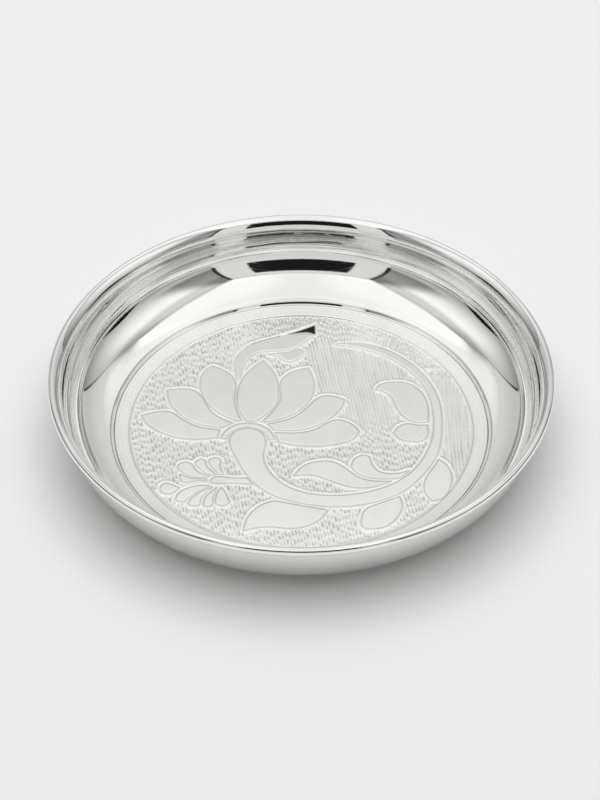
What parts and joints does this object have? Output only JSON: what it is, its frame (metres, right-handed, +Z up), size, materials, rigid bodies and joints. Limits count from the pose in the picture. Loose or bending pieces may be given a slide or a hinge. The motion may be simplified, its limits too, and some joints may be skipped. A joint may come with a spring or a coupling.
{
  "type": "puja thali",
  "caption": "Round shallow offering dish with a stepped flat base, coved wall, flared lip, rolled wired rim, and a floor engraved with a lotus spray on a hatched ground.",
  "frame": {"origin": "centre of the flat underside that the dish rests on", "axes": "+Z up out of the dish's mouth; +Y away from a viewer who sees the engraved lotus upright; +X to that viewer's right"},
  "size_m": [0.18, 0.18, 0.0275],
  "materials": {
    "polished_silver": "mirror polished silver, with a bright hatched ground in the engraved medallion",
    "silver_wire": "plain drawn silver wire"
  },
  "bodies": {
    "root": {"dish": "polished_silver", "rim_wire": "silver_wire"}
  },
  "joints": []
}
